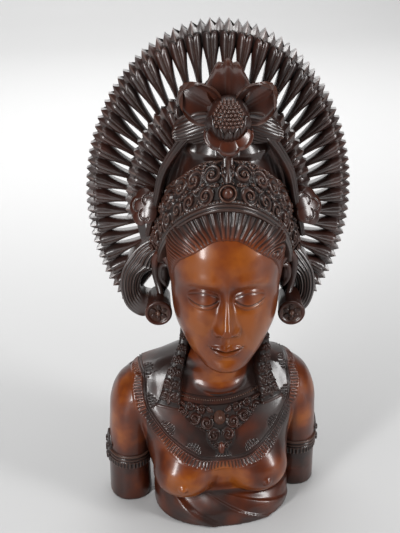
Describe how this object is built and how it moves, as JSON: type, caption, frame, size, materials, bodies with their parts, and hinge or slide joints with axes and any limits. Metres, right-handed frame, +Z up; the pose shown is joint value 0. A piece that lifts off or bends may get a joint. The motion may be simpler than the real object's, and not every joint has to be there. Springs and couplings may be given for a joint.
{
  "type": "carved dancer bust",
  "caption": "Carved wooden bust of a dancer with a rayed fan headdress, a flower crown, ear drums, necklace and shoulder cape, cut flat below to stand on a shelf.",
  "frame": {"origin": "centre of the bounding box in X and Y, at the flat underside that the bust rests on", "axes": "+Z up from the cut base to the top of the fan, -Y the way the figure looks, +X to the viewer's right"},
  "size_m": [0.2006, 0.1156, 0.4],
  "materials": {
    "rosewood": "polished dark rosewood, amber brown on the face and chest"
  },
  "bodies": {
    "root": {"dancer_bust": "rosewood"}
  },
  "joints": []
}
